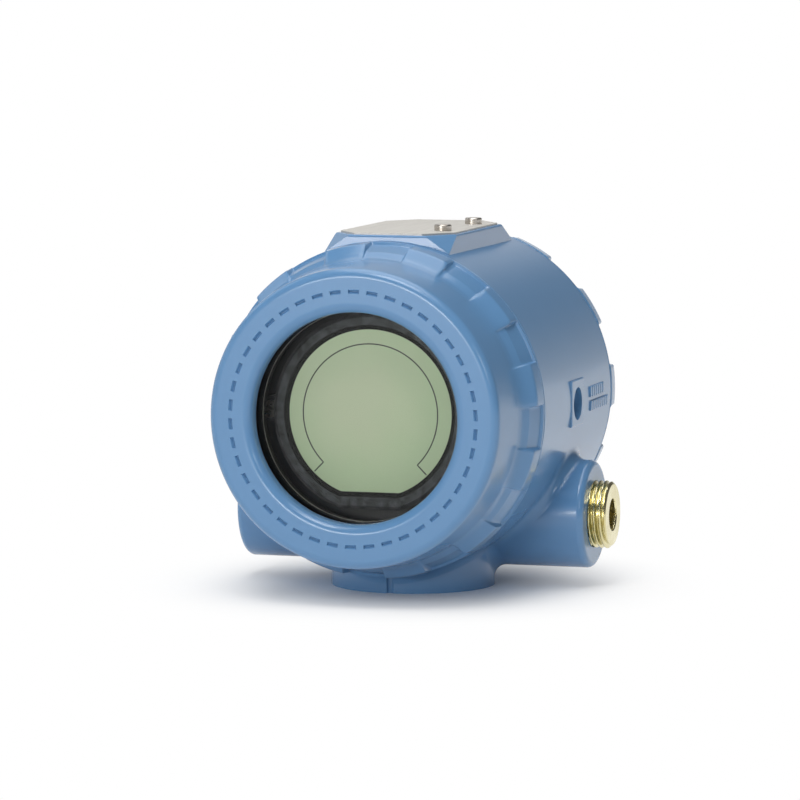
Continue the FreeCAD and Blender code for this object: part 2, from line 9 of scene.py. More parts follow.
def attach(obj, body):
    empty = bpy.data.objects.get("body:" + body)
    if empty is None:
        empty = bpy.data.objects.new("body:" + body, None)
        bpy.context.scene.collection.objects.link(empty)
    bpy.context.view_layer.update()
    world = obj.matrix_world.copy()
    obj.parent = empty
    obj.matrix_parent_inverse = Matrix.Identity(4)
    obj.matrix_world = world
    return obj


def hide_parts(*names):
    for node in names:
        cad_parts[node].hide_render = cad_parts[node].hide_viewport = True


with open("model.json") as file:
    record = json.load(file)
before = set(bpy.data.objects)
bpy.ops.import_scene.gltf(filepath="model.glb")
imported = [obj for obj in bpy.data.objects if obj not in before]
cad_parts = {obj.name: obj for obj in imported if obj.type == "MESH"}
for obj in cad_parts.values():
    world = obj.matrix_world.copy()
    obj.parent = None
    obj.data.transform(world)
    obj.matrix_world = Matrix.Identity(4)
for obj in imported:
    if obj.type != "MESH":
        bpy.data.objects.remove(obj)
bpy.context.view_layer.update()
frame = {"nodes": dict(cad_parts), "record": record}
nodes = frame["nodes"]
mm = 0.001
barrelAxisHeight = 58.4  # mm above the foot's underside
fullTurn = 2 * math.pi
halfTurn = math.pi
quarterTurn = math.pi / 2
nearlyZero = 1e-6  # mm, for points that lie exactly on a surface
print("frame loaded:", len(nodes), "nodes")


# Meshes from arrays

def weldAndTurnOut(mesh, gap=1e-7):
    # closes seams and poles by merging points that coincide, then points every face outwards
    work = bmesh.new()
    work.from_mesh(mesh)
    bmesh.ops.remove_doubles(work, verts=work.verts, dist=gap)
    bmesh.ops.dissolve_degenerate(work, edges=work.edges, dist=gap)
    bmesh.ops.recalc_face_normals(work, faces=work.faces)
    work.to_mesh(mesh)
    work.free()


def gridFaces(rows, columns, wrapRows, wrapColumns):
    # four corner numbers for each cell of a rows x columns grid, which may close on itself either way
    i = np.arange(rows if wrapRows else rows - 1)[:, None]
    j = np.arange(columns if wrapColumns else columns - 1)[None, :]
    below = (i + 1) % rows
    right = (j + 1) % columns
    corners = [i * columns + j, i * columns + right, below * columns + right, below * columns + j]
    return np.stack([np.broadcast_to(c, (i.size, j.size)) for c in corners], axis=-1).reshape(-1, 4)


def pieceFromGrids(name, grids, body, material, wrapRows=False, wrapColumns=True, crease=35.0):
    # grids: points in millimetres, shaped (copies, rows, columns, 3); every copy is one shell of the piece
    copies, rows, columns = grids.shape[:3]
    cell = gridFaces(rows, columns, wrapRows, wrapColumns)
    faces = (cell[None] + (np.arange(copies) * rows * columns)[:, None, None]).reshape(-1, 4)
    mesh = bpy.data.meshes.new(name)
    mesh.from_pydata((grids.reshape(-1, 3) * mm).tolist(), [], faces.tolist())
    weldAndTurnOut(mesh)
    mesh.polygons.foreach_set("use_smooth", np.ones(len(mesh.polygons), bool))
    mesh.set_sharp_from_angle(angle=math.radians(crease))
    mesh.materials.append(material)
    piece = bpy.data.objects.new(name, mesh)
    bpy.context.scene.collection.objects.link(piece)
    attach(piece, body)
    print("piece:", name, len(mesh.polygons), "faces")
    return piece


def smoothStep(t):
    # 0 below 0, 1 above 1 and an S between them
    t = np.clip(t, 0.0, 1.0)
    return t * t * (3 - 2 * t)


def profileCorner(radius, place, cut=0.0, steps=1):
    # cut: how far the curve over this corner starts from it; steps: divisions of the side after it
    return radius, place, cut, steps


def roundedProfile(corners, curveSteps=5):
    # closed outline: each cut corner becomes a quadratic curve between two points set back along its sides
    radius, place, cut, steps = zip(*corners)
    points = np.array([radius, place], float).T
    setback = np.array(cut)[:, None]
    ahead = np.roll(points, -1, axis=0) - points
    ahead /= np.linalg.norm(ahead, axis=1)[:, None]
    start = points - np.roll(ahead, 1, axis=0) * setback
    end = points + ahead * setback
    following = np.roll(start, -1, axis=0)
    parts = []
    for i in range(len(corners)):
        t = np.linspace(0, 1, curveSteps)[:, None] if cut[i] else np.zeros((1, 1))
        parts.append((1 - t) ** 2 * start[i] + 2 * t * (1 - t) * points[i] + t ** 2 * end[i])
        run = np.linspace(0, 1, steps[i] + 1)[1:-1, None]
        parts.append(end[i] + (following[i] - end[i]) * run)
    return np.concatenate(parts)


def pillows(centres, along, across, out, half, roundness=0.35, bands=9, sides=24):
    # raised pads, one for each row of centres and directions: superellipsoids with half sizes (length, width,
    # height), on a grid of latitude and longitude
    length, width, height = half
    latitude = np.linspace(-quarterTurn, quarterTurn, bands)[:, None]
    longitude = np.linspace(0, fullTurn, sides, endpoint=False)[None, :]

    def shaped(t):
        return np.sign(t) * np.abs(t) ** roundness

    a = shaped(np.cos(latitude)) * shaped(np.cos(longitude)) * length
    b = shaped(np.cos(latitude)) * shaped(np.sin(longitude)) * width
    c = shaped(np.sin(latitude)) * height * np.ones_like(longitude)
    ways = ((a, along), (b, across), (c, out))
    parts = [grid[None, :, :, None] * way[:, None, None, :] for grid, way in ways]
    return centres[:, None, None, :] + parts[0] + parts[1] + parts[2]


# Materials

def startMaterial(name):
    material = bpy.data.materials.new(name)
    material.use_nodes = True
    tree = material.node_tree
    return material, tree, tree.nodes["Principled BSDF"]


def addNode(tree, kind, values=None, **settings):
    node = tree.nodes.new(kind)
    for key, value in settings.items():
        setattr(node, key, value)
    for key, value in (values or {}).items():
        node.inputs[key].default_value = value
    return node


def combine(tree, operation, first, second):
    # a math node on two inputs, each of them a socket or a plain number
    node = addNode(tree, "ShaderNodeMath", operation=operation)
    for socket, value in zip(node.inputs, (first, second)):
        if isinstance(value, (int, float)):
            socket.default_value = value
        else:
            tree.links.new(value, socket)
    return node.outputs["Value"]


def placeAndReach(tree, centre):
    # the object's own coordinates, and the distance from a line through centre along y
    place = addNode(tree, "ShaderNodeTexCoord").outputs["Object"]
    flatten = addNode(tree, "ShaderNodeVectorMath", operation="MULTIPLY")
    flatten.inputs[1].default_value = (1, 0, 1)
    tree.links.new(place, flatten.inputs[0])
    reach = addNode(tree, "ShaderNodeVectorMath", operation="DISTANCE")
    reach.inputs[1].default_value = centre
    tree.links.new(flatten.outputs["Vector"], reach.inputs[0])
    return place, reach.outputs["Value"]


def objectNoise(tree, scale, detail=3.0, stretch=(1.0, 1.0, 1.0)):
    # noise in the object's own metres; stretch squeezes it along an axis for brushed or drawn metal
    place = addNode(tree, "ShaderNodeTexCoord")
    mapping = addNode(tree, "ShaderNodeMapping", {"Scale": stretch})
    noise = addNode(tree, "ShaderNodeTexNoise", {"Scale": scale, "Detail": detail})
    tree.links.new(place.outputs["Object"], mapping.inputs["Vector"])
    tree.links.new(mapping.outputs["Vector"], noise.inputs["Vector"])
    return noise.outputs["Fac"]


def spread(tree, value, low, high, fromLow=0.3, fromHigh=0.7, shape="LINEAR"):
    # maps fromLow to fromHigh, which are the middle of a noise unless given, onto low to high
    ranged = addNode(
        tree, "ShaderNodeMapRange",
        {"From Min": fromLow, "From Max": fromHigh, "To Min": low, "To Max": high},
        interpolation_type=shape,
    )
    tree.links.new(value, ranged.inputs["Value"])
    return ranged.outputs["Result"]


def twoColours(tree, value, dark, light, fromLow=0.3, fromHigh=0.7):
    ramp = addNode(tree, "ShaderNodeValToRGB")
    ramp.color_ramp.elements[0].position = fromLow
    ramp.color_ramp.elements[0].color = (*dark, 1)
    ramp.color_ramp.elements[1].position = fromHigh
    ramp.color_ramp.elements[1].color = (*light, 1)
    tree.links.new(value, ramp.inputs["Fac"])
    return ramp.outputs["Color"]


def addBump(tree, shader, height, depth, strength=1.0):
    bump = addNode(tree, "ShaderNodeBump", {"Strength": strength, "Distance": depth})
    tree.links.new(height, bump.inputs["Height"])
    tree.links.new(bump.outputs["Normal"], shader.inputs["Normal"])


plainFinish = {  # what a finish has where it says nothing else
    "stretch": (1.0, 1.0, 1.0), "patchDetail": 4.0, "glossDetail": 2.0, "grainDetail": 2.0,
    "metallic": 0.0, "ior": 1.5, "mirror": 0.5, "coat": 0.0, "coatRoughness": 0.1,
}


def grainedFinish(name, changes):
    # one recipe for paint, plastic, rubber and metal: patchy colour, patchy roughness and a fine bump
    finish = {**plainFinish, **changes}
    stretch = finish["stretch"]
    material, tree, shader = startMaterial(name)
    patches = objectNoise(tree, finish["patchScale"], finish["patchDetail"], stretch)
    tree.links.new(twoColours(tree, patches, finish["dark"], finish["light"]), shader.inputs["Base Color"])
    gloss = objectNoise(tree, finish["glossScale"], finish["glossDetail"], stretch)
    tree.links.new(spread(tree, gloss, *finish["roughness"]), shader.inputs["Roughness"])
    grain = objectNoise(tree, finish["grainScale"], finish["grainDetail"], stretch)
    addBump(tree, shader, grain, finish["grainDepth"])
    shader.inputs["Metallic"].default_value = finish["metallic"]
    shader.inputs["IOR"].default_value = finish["ior"]
    shader.inputs["Specular IOR Level"].default_value = finish["mirror"]
    shader.inputs["Coat Weight"].default_value = finish["coat"]
    shader.inputs["Coat Roughness"].default_value = finish["coatRoughness"]
    return material


bluePaint = grainedFinish("bluePaint", {
    "dark": (0.110, 0.248, 0.449), "light": (0.114, 0.254, 0.457), "patchScale": 38.0,
    "roughness": (0.228, 0.242), "glossScale": 120.0,
    "grainScale": 520.0, "grainDetail": 1.0, "grainDepth": 0.0000022,
    "mirror": 0.42, "coat": 0.28, "coatRoughness": 0.12,
})
sealRubber = grainedFinish("sealRubber", {
    "dark": (0.008, 0.008, 0.009), "light": (0.016, 0.016, 0.017), "patchScale": 200.0,
    "roughness": (0.55, 0.7), "glossScale": 300.0, "grainScale": 3000.0, "grainDepth": 0.00003,
})
blackAnodised = grainedFinish("blackAnodised", {
    "dark": (0.012, 0.012, 0.013), "light": (0.022, 0.022, 0.024), "patchScale": 150.0,
    "roughness": (0.4, 0.5), "glossScale": 250.0, "grainScale": 2500.0, "grainDepth": 0.00001,
    "metallic": 0.4,
})
brushedPlate = grainedFinish("brushedPlate", {
    "dark": (0.63, 0.61, 0.57), "light": (0.71, 0.69, 0.65), "patchScale": 1700.0,
    "stretch": (1.0, 0.03, 1.0),
    "roughness": (0.56, 0.66), "glossScale": 2200.0, "grainScale": 2600.0, "grainDepth": 0.00001,
    "metallic": 1.0,
})
platedSteel = grainedFinish("platedSteel", {
    "dark": (0.40, 0.36, 0.31), "light": (0.60, 0.57, 0.53), "patchScale": 420.0,
    "roughness": (0.24, 0.38), "glossScale": 700.0, "grainScale": 3000.0, "grainDepth": 0.00001,
    "metallic": 1.0,
})
yellowZinc = grainedFinish("yellowZinc", {
    "dark": (0.62, 0.545, 0.255), "light": (0.85, 0.79, 0.52), "patchScale": 110.0,
    "roughness": (0.16, 0.28), "glossScale": 500.0, "grainScale": 2200.0, "grainDepth": 0.00001,
    "metallic": 1.0,
})
pottedModule = grainedFinish("pottedModule", {
    "dark": (0.018, 0.018, 0.02), "light": (0.03, 0.03, 0.033), "patchScale": 60.0,
    "roughness": (0.42, 0.55), "glossScale": 200.0, "grainScale": 2600.0, "grainDepth": 0.00004,
})
switchPlastic = grainedFinish("switchPlastic", {
    "dark": (0.66, 0.65, 0.60), "light": (0.74, 0.73, 0.69), "patchScale": 300.0,
    "roughness": (0.38, 0.48), "glossScale": 400.0, "grainScale": 2600.0, "grainDepth": 0.00002,
})
bezelPlastic = grainedFinish("bezelPlastic", {
    "dark": (0.016, 0.017, 0.020), "light": (0.083, 0.090, 0.099), "patchScale": 420.0,
    "roughness": (0.5, 0.62), "glossScale": 500.0,
    "grainScale": 1300.0, "grainDetail": 4.0, "grainDepth": 0.00012, "mirror": 0.3,
})
goldPin = grainedFinish("goldPin", {
    "dark": (0.70, 0.50, 0.18), "light": (0.82, 0.64, 0.28), "patchScale": 500.0,
    "roughness": (0.18, 0.26), "glossScale": 600.0, "grainScale": 3000.0, "grainDepth": 0.00001,
    "metallic": 1.0,
})
terminalPlastic = grainedFinish("terminalPlastic", {
    "dark": (0.02, 0.02, 0.022), "light": (0.034, 0.034, 0.036), "patchScale": 90.0,
    "roughness": (0.4, 0.5), "glossScale": 300.0, "grainScale": 2400.0, "grainDepth": 0.00003,
})
platedClamp = grainedFinish("platedClamp", {
    "dark": (0.52, 0.50, 0.46), "light": (0.66, 0.65, 0.61), "patchScale": 500.0, "stretch": (1.0, 1.0, 0.2),
    "roughness": (0.25, 0.36), "glossScale": 600.0, "grainScale": 2800.0, "grainDepth": 0.00001,
    "metallic": 1.0,
})


def paintBevelShade(material):
    # painted shade on the display window's bevel: inside its D outline the colour falls away to a tenth,
    # standing for the shade of that recess, and the gloss falls away too
    look = {"radius": 27.4, "flat": -25.65, "blend": 0.12, "colourLeft": 0.1, "dull": 0.9}
    tree = material.node_tree
    shader = tree.nodes["Principled BSDF"]
    place, reach = placeAndReach(tree, (0, 0, barrelAxisHeight * mm))
    parts = addNode(tree, "ShaderNodeSeparateXYZ")
    tree.links.new(place, parts.inputs["Vector"])
    inRound = combine(tree, "SUBTRACT", look["radius"] * mm, reach)
    aboveFlat = combine(tree, "SUBTRACT", parts.outputs["Z"], (barrelAxisHeight + look["flat"]) * mm)
    inside = combine(tree, "MINIMUM", inRound, aboveFlat)
    blend = look["blend"] * mm
    dimmed = addNode(tree, "ShaderNodeVectorMath", operation="SCALE")
    tree.links.new(shader.inputs["Base Color"].links[0].from_socket, dimmed.inputs[0])
    # painted shade: the plastic's colour is scaled down inside the bevel's outline
    tree.links.new(spread(tree, inside, 1.0, look["colourLeft"], -blend, blend), dimmed.inputs["Scale"])
    tree.links.new(dimmed.outputs["Vector"], shader.inputs["Base Color"])
    dullness = spread(tree, inside, 0.0, look["dull"], -blend, blend)
    roughness = combine(tree, "MAXIMUM", shader.inputs["Roughness"].links[0].from_socket, dullness)
    tree.links.new(roughness, shader.inputs["Roughness"])


paintBevelShade(bezelPlastic)
# painted highlight: pale grey for the thin ring that stands for the glint on the window ring's edge
edgeGlintPaint = grainedFinish("edgeGlintPaint", {
    "dark": (0.26, 0.25, 0.24), "light": (0.44, 0.43, 0.41), "patchScale": 160.0,
    "roughness": (0.42, 0.55), "glossScale": 300.0, "grainScale": 2200.0, "grainDepth": 0.00001,
})
arcInk = grainedFinish("arcInk", {
    "dark": (0.02, 0.025, 0.018), "light": (0.03, 0.036, 0.026), "patchScale": 400.0,
    "roughness": (0.4, 0.5), "glossScale": 500.0, "grainScale": 2000.0, "grainDepth": 0.00001,
})


def windowGlassMaterial():
    # clear pane: straight through, with a soft mirror that grows towards grazing views
    glass = {
        "tint": (0.98, 0.99, 0.983, 1), "mirrorIor": 1.25, "mirrorRoughness": 0.02,
        "rippleScale": 60.0, "rippleStrength": 0.2, "rippleDepth": 0.00001,
    }
    material, tree, shader = startMaterial("windowGlass")
    tree.nodes.remove(shader)
    clear = addNode(tree, "ShaderNodeBsdfTransparent", {"Color": glass["tint"]})
    mirror = addNode(tree, "ShaderNodeBsdfGlossy", {"Roughness": glass["mirrorRoughness"]})
    fresnel = addNode(tree, "ShaderNodeFresnel", {"IOR": glass["mirrorIor"]})
    ripple = addNode(
        tree, "ShaderNodeBump", {"Strength": glass["rippleStrength"], "Distance": glass["rippleDepth"]},
    )
    tree.links.new(objectNoise(tree, glass["rippleScale"]), ripple.inputs["Height"])
    tree.links.new(ripple.outputs["Normal"], mirror.inputs["Normal"])
    mix = addNode(tree, "ShaderNodeMixShader")
    tree.links.new(fresnel.outputs["Fac"], mix.inputs["Fac"])
    tree.links.new(clear.outputs["BSDF"], mix.inputs[1])
    tree.links.new(mirror.outputs["BSDF"], mix.inputs[2])
    tree.links.new(mix.outputs["Shader"], tree.nodes["Material Output"].inputs["Surface"])
    return material


def displayMaterial():
    # grey-green display: warmer and greyer in the middle, greener at the edge, with a faint fine lattice
    display = {
        "middle": (0.56, 0.63, 0.425), "edge": (0.49, 0.62, 0.375),
        "glowCentre": (-0.004, 0.0, 0.062), "glowRadius": 0.026, "glowFrom": 0.25, "glowTo": 1.0,
        "wobbleScale": 90.0, "wobble": 0.12, "roughness": (0.32, 0.4), "glossScale": 200.0,
        "latticeScale": 2500.0, "latticeDepth": 0.000004,
    }
    material, tree, shader = startMaterial("displayPanel")
    _, reach = placeAndReach(tree, display["glowCentre"])
    share = combine(tree, "DIVIDE", reach, display["glowRadius"])
    wobble = spread(tree, objectNoise(tree, display["wobbleScale"]), -display["wobble"], display["wobble"])
    glow = combine(tree, "ADD", share, wobble)
    ends = (display["glowFrom"], display["glowTo"])
    colour = twoColours(tree, glow, display["middle"], display["edge"], *ends)
    tree.links.new(colour, shader.inputs["Base Color"])
    gloss = objectNoise(tree, display["glossScale"])
    tree.links.new(spread(tree, gloss, *display["roughness"]), shader.inputs["Roughness"])
    addBump(tree, shader, objectNoise(tree, display["latticeScale"]), display["latticeDepth"])
    return material


def boardMaterial():
    # green solder mask over copper tracks drawn by a brick pattern
    board = {
        "mask": (0.02, 0.11, 0.045, 1), "track": (0.05, 0.19, 0.08, 1), "trackScale": 260.0,
        "trackWidth": 0.06, "trackDepth": 0.00003, "roughness": (0.25, 0.35), "glossScale": 400.0,
    }
    material, tree, shader = startMaterial("circuitBoard")
    place = addNode(tree, "ShaderNodeTexCoord")
    turn = addNode(tree, "ShaderNodeMapping", {"Rotation": (quarterTurn, 0, 0)})
    brick = addNode(tree, "ShaderNodeTexBrick", {
        "Scale": board["trackScale"], "Mortar Size": board["trackWidth"],
        "Color1": board["mask"], "Color2": board["mask"], "Mortar": board["track"],
    })
    tree.links.new(place.outputs["Object"], turn.inputs["Vector"])
    tree.links.new(turn.outputs["Vector"], brick.inputs["Vector"])
    tree.links.new(brick.outputs["Color"], shader.inputs["Base Color"])
    gloss = objectNoise(tree, board["glossScale"])
    tree.links.new(spread(tree, gloss, *board["roughness"]), shader.inputs["Roughness"])
    addBump(tree, shader, brick.outputs["Fac"], board["trackDepth"])
    return material


windowGlass = windowGlassMaterial()
displayPanel = displayMaterial()
circuitBoard = boardMaterial()
slotMaterials = {
    "blue_paint": bluePaint, "seal_rubber": sealRubber, "window_glass": windowGlass,
    "black_anodised": blackAnodised, "stainless": brushedPlate, "screw_steel": platedSteel,
    "yellow_zinc": yellowZinc, "potted_module": pottedModule, "switch_plastic": switchPlastic,
    "bezel_plastic": bezelPlastic, "lcd_glass": displayPanel, "circuit_board": circuitBoard,
    "gold_pin": goldPin, "terminal_plastic": terminalPlastic, "plated_clamp": platedClamp,
}
for part in frame["record"]["subparts"]:
    mesh = nodes[part["node"]].data
    mesh.materials.clear()
    mesh.materials.append(slotMaterials[part["material_slot"]])
print("materials:", len(bpy.data.materials))


# Screwed covers

coverRim = {
    "rimRadius": 52.2, "rimEdgeRadius": 52.0, "rimEdge": 0.8, "rimFrontRadius": 51.7, "rimLand": 6.8,
    "rampEnd": 11.2, "collarSetback": 2.9, "skirtRadius": 47.45,
    "pocketCount": 12, "pocketAngle": 15.0, "pocketRingRadius": 51.9, "pocketLandRadius": 51.1,
    "pocketCornerRadius": 49.3, "pocketCorner": 8.0, "runOutRadius": 47.75, "runOut": 10.6,
    "runOutEndRadius": 47.2, "runOutEnd": 13.4, "wallSoftness": 0.45, "backWall": 0.4,
    "spigotRadius": 45.7, "spigotLength": 13.0, "spigotBore": 41.5, "spigotChamfer": 1.0,
    "threadPitch": 2.0, "threadDepth": 0.9, "threadRelief": 1.6, "threadStart": 0.01, "threadSteps": 44,
    "skirtMargin": 1.0, "curveSteps": 7, "columnsPerWall": 12, "crowding": 0.86,
}


def coverAngles(phase, extraColumns):
    # angles from +X towards +Z, crowded near every pocket wall: a half pitch runs as t - k sin(2 pi t) / 2 pi
    walls = 2 * coverRim["pocketCount"]
    t = np.arange(coverRim["columnsPerWall"]) / coverRim["columnsPerWall"]
    eased = t - coverRim["crowding"] * np.sin(fullTurn * t) / fullTurn
    regular = np.radians(phase) + fullTurn / walls * (np.arange(walls)[:, None] + eased[None, :]).ravel()
    return np.unique(np.concatenate([regular, extraColumns]) % fullTurn)


def coverGrid(flangeY, out, phase, outerCorners, extraColumns=()):
    # a turned profile whose outside radius drops into the grip pockets, with a triangular helical thread on
    # its spigot; out is the way the cover faces along y, and phase the angle in degrees where a pocket begins
    rim = coverRim
    endY = flangeY - out * rim["spigotLength"]
    slope = (rim["rimFrontRadius"] - rim["rimRadius"]) / (rim["rimLand"] - rim["rimEdge"])
    stepRadius = rim["rimRadius"] + slope * 2 * rim["backWall"]
    corners = [
        profileCorner(rim["spigotBore"], endY, cut=0.3),
        profileCorner(rim["spigotRadius"] - rim["spigotChamfer"], endY, cut=0.2, steps=2),
        profileCorner(rim["spigotRadius"], endY + out * rim["spigotChamfer"], steps=rim["threadSteps"]),
        profileCorner(rim["spigotRadius"], flangeY, steps=4),
        profileCorner(rim["rimEdgeRadius"], flangeY, cut=0.25),
        profileCorner(rim["rimRadius"], flangeY + out * rim["rimEdge"], cut=0.25, steps=6),
        profileCorner(stepRadius, flangeY + out * (rim["rimEdge"] + 2 * rim["backWall"]), steps=8),
        profileCorner(rim["rimFrontRadius"], flangeY + out * rim["rimLand"], cut=0.7, steps=6),
        profileCorner(rim["skirtRadius"], flangeY + out * rim["rampEnd"], cut=rim["collarSetback"], steps=6),
    ] + outerCorners
    profile = roundedProfile(corners, rim["curveSteps"])
    radius = profile[:, 0][:, None]
    y = profile[:, 1][:, None]
    angle = coverAngles(phase, extraColumns)[None, :]
    depth = out * (y - flangeY)
    pitch = fullTurn / rim["pocketCount"]
    middle = np.radians(phase + rim["pocketAngle"] / 2)
    fromMiddle = np.abs((angle - middle + pitch / 2) % pitch - pitch / 2)
    soft = np.radians(rim["wallSoftness"])
    pocket = smoothStep((np.radians(rim["pocketAngle"]) / 2 + soft - fromMiddle) / (2 * soft))
    floorLine = [
        (rim["rimEdge"], rim["pocketRingRadius"]),
        (rim["rimEdge"] + rim["backWall"], rim["pocketLandRadius"]),
        (rim["pocketCorner"], rim["pocketCornerRadius"]),
        (rim["runOut"], rim["runOutRadius"]),
        (rim["runOutEnd"], rim["runOutEndRadius"]),
    ]
    floor = np.interp(depth, *zip(*floorLine))
    outside = (radius > rim["skirtRadius"] - rim["skirtMargin"]) & (depth < rim["runOutEnd"])
    drop = np.where(outside, np.maximum(radius - floor, 0), 0) * pocket
    onSpigot = (np.abs(radius - rim["spigotRadius"]) < nearlyZero) & (depth < -rim["threadStart"])
    wave = (-y / rim["threadPitch"] - angle / fullTurn) % 1.0
    tooth = np.abs(2 * wave - 1)
    runIn = smoothStep((-depth - rim["threadRelief"]) / rim["threadPitch"])
    thread = np.where(onSpigot, rim["threadDepth"] * (1 - (1 - tooth) * runIn), 0)
    r = radius - drop - thread
    x = r * np.cos(angle)
    z = barrelAxisHeight + r * np.sin(angle)
    return np.stack([x, y + 0 * angle, z], axis=-1)[None]


frontCoverLook = {
    "flangeY": -34.6, "faceY": -66.2, "faceRadius": 45.65, "boreRadius": 32.4, "boreRound": 2.9,
    "lipRear": -60.6, "seatRadius": 38.2, "seatRear": -46.5, "pocketPhase": 48.4,
    "draft": 0.103, "edgeRound": 2.7, "edgeSteps": 14, "edgeLand": 0.25,
}
faceDashes = {
    "ringRadius": 38.9, "count": 42, "firstAngle": 54.95, "halfLength": 1.75, "halfWidth": 0.64, "wall": 0.58,
    "endWall": 0.25, "depth": 0.85,
}
rearCoverLook = {
    "flangeY": 49.3, "faceY": 66.2, "faceRadius": 46.9, "faceEdge": 1.5, "dishRadius": 33.5, "dishDepth": 1.4,
    "insideY": 60.2, "boreRadius": 40.0, "pocketPhase": 8.7,
}


def dashColumns():
    # the angles where each dash and its walls begin and end
    look = faceDashes
    ends = np.array([look["halfLength"], look["halfLength"] - look["endWall"]]) / look["ringRadius"]
    centres = np.radians(look["firstAngle"]) + fullTurn / look["count"] * np.arange(look["count"])
    return (centres[:, None] + np.concatenate([-ends, ends])[None, :]).ravel()


def dashRecess(grid):
    # how far the flat face sinks: a trapezoid along each dash times a trapezoid across the ring
    look = faceDashes
    x = grid[..., 0]
    z = grid[..., 2] - barrelAxisHeight
    pitch = fullTurn / look["count"]
    turn = np.arctan2(z, x) - np.radians(look["firstAngle"])
    fromMiddle = np.abs((turn + pitch / 2) % pitch - pitch / 2) * look["ringRadius"]
    fromRing = np.abs(np.hypot(x, z) - look["ringRadius"])
    along = np.clip((look["halfLength"] - fromMiddle) / look["endWall"], 0, 1)
    across = np.clip((look["halfWidth"] - fromRing) / look["wall"], 0, 1)
    onFace = np.abs(grid[..., 1] - frontCoverLook["faceY"]) < nearlyZero
    return look["depth"] * along * across * onFace


def roundOff(middle, radius, fromTurn, toTurn):
    # an arc that touches the flat face, as uncut corners; turn runs from the skirt's side to the bore's
    turn = np.linspace(fromTurn, toTurn, frontCoverLook["edgeSteps"])
    r = middle + radius * np.cos(turn)
    y = frontCoverLook["faceY"] + radius * (1 - np.sin(turn))
    return [profileCorner(a, b) for a, b in zip(r, y)]


def frontCover():
    # round edge, flat face with sunk dashes, window bore, lip and seat
    look = frontCoverLook
    dash = faceDashes
    lean = math.atan(look["draft"])
    outer = look["faceRadius"] + look["edgeRound"] * (look["draft"] - 1 / math.cos(lean))
    inner = look["boreRadius"] + look["boreRound"]
    face = look["faceY"]
    corners = roundOff(outer, look["edgeRound"], lean, quarterTurn) + [
        profileCorner(outer - look["edgeLand"], face, steps=3),
        profileCorner(dash["ringRadius"] + dash["halfWidth"], face),
        profileCorner(dash["ringRadius"] + dash["halfWidth"] - dash["wall"], face, steps=2),
        profileCorner(dash["ringRadius"] - dash["halfWidth"] + dash["wall"], face),
        profileCorner(dash["ringRadius"] - dash["halfWidth"], face, steps=3),
        profileCorner(inner + look["edgeLand"], face),
    ] + roundOff(inner, look["boreRound"], quarterTurn, halfTurn) + [
        profileCorner(look["boreRadius"], look["lipRear"], cut=0.2, steps=2),
        profileCorner(look["seatRadius"], look["lipRear"], steps=6),
        profileCorner(look["seatRadius"], look["seatRear"], cut=0.2, steps=2),
        profileCorner(coverRim["spigotBore"], look["seatRear"], cut=0.2, steps=8),
    ]
    grid = coverGrid(look["flangeY"], -1, look["pocketPhase"], corners, dashColumns())
    grid[..., 1] += dashRecess(grid)
    piece = pieceFromGrids("front_cover_cast", grid, "front_cover", bluePaint, wrapRows=True)
    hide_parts("front_cover")


def rearCover():
    # face with a shallow dish, closed at the axis, and the hollow behind it
    look = rearCoverLook
    dishY = look["faceY"] - look["dishDepth"]
    corners = [
        profileCorner(look["faceRadius"], look["faceY"], cut=look["faceEdge"], steps=5),
        profileCorner(look["dishRadius"], look["faceY"], cut=0.4, steps=2),
        profileCorner(look["dishRadius"] - look["dishDepth"], dishY, cut=0.4, steps=8),
        profileCorner(0.0, dishY),
        profileCorner(0.0, look["insideY"], steps=8),
        profileCorner(look["boreRadius"], look["insideY"], cut=1.0, steps=6),
        profileCorner(coverRim["spigotBore"], look["flangeY"], cut=0.5, steps=6),
    ]
    grid = coverGrid(look["flangeY"], 1, look["pocketPhase"], corners)
    piece = pieceFromGrids("rear_cover_cast", grid, "rear_cover", bluePaint, wrapRows=True)
    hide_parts("rear_cover")


# Painted highlight: a pale ring on the inner front corner of the ring that holds the window, standing for the
# glint on that edge

edgeLook = {"radius": 32.55, "y": -53.25, "tube": 0.13, "rows": 10, "columns": 240}


def retainerEdge():
    # a thin torus along the ring's inner front corner, in a pale grey that paints in the edge's highlight
    look = edgeLook
    around = np.linspace(0, fullTurn, look["columns"], endpoint=False)[None, :]
    tube = np.linspace(0, fullTurn, look["rows"], endpoint=False)[:, None]
    r = look["radius"] + look["tube"] * np.cos(tube)
    y = look["y"] + look["tube"] * np.sin(tube) + 0 * around
    grid = np.stack([r * np.cos(around), y, barrelAxisHeight + r * np.sin(around)], axis=-1)
    pieceFromGrids("retainer_edge", grid[None], "front_cover", edgeGlintPaint, wrapRows=True)


# Plain cast bars on the right flank

flankBars = {
    "upper": {"height": 60.25, "halfHeight": 1.75, "firstY": 21.9, "lastY": 37.6, "count": 7},
    "lower": {"height": 55.75, "halfHeight": 1.65, "firstY": 22.8, "lastY": 42.9, "count": 9},
    "halfLength": 1.03, "raised": 0.5, "barrelRadius": 52.0,
}


def castBars():
    # two rows of pads half sunk in the barrel, each standing on it square
    look = flankBars
    for rowName in ("upper", "lower"):
        row = look[rowName]
        y = np.linspace(row["firstY"], row["lastY"], row["count"])
        angle = np.full(y.size, math.asin((row["height"] - barrelAxisHeight) / look["barrelRadius"]))
        flat = np.zeros_like(angle)
        out = np.stack([np.cos(angle), flat, np.sin(angle)], axis=-1)
        across = np.stack([-np.sin(angle), flat, np.cos(angle)], axis=-1)
        along = np.stack([flat, flat + 1, flat], axis=-1)
        centres = out * look["barrelRadius"] + np.stack([flat, y, flat + barrelAxisHeight], axis=-1)
        grid = pillows(centres, along, across, out, (look["halfLength"], row["halfHeight"], look["raised"]))
        pieceFromGrids("flank_bars_" + rowName, grid, "housing", bluePaint)


# Threaded blanking plug

